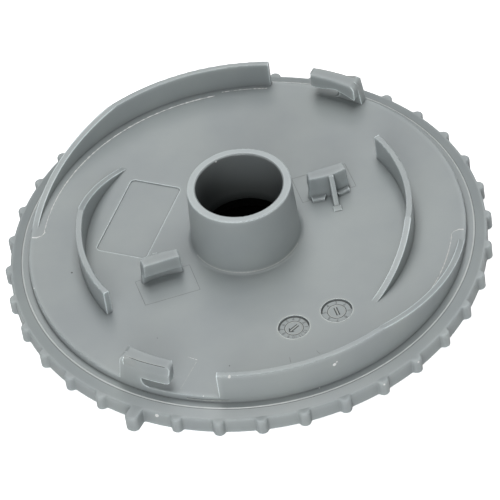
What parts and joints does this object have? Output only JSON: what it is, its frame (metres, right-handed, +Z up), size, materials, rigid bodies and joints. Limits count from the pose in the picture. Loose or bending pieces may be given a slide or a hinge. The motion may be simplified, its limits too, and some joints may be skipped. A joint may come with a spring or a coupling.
{
  "type": "dishwasher spray arm hub cover",
  "caption": "Round grey plastic cover with a tall central tube, bayonet ramps, hooks and catches on its face and a ribbed grip rim with one index lug.",
  "frame": {"origin": "on the hub's axis, in the plane of the rim's lower edge", "axes": "+Z up along the hub's axis, out of the disc's ramped face; the grip ribs lie at whole tens of degrees from +X and the index lug at 240 degrees, counted anticlockwise seen from above"},
  "size_m": [0.1248, 0.1248, 0.0247],
  "materials": {
    "moulding": "semi-matte moulded grey"
  },
  "bodies": {
    "root": {"spray_arm_hub_cover": "moulding"}
  },
  "joints": []
}
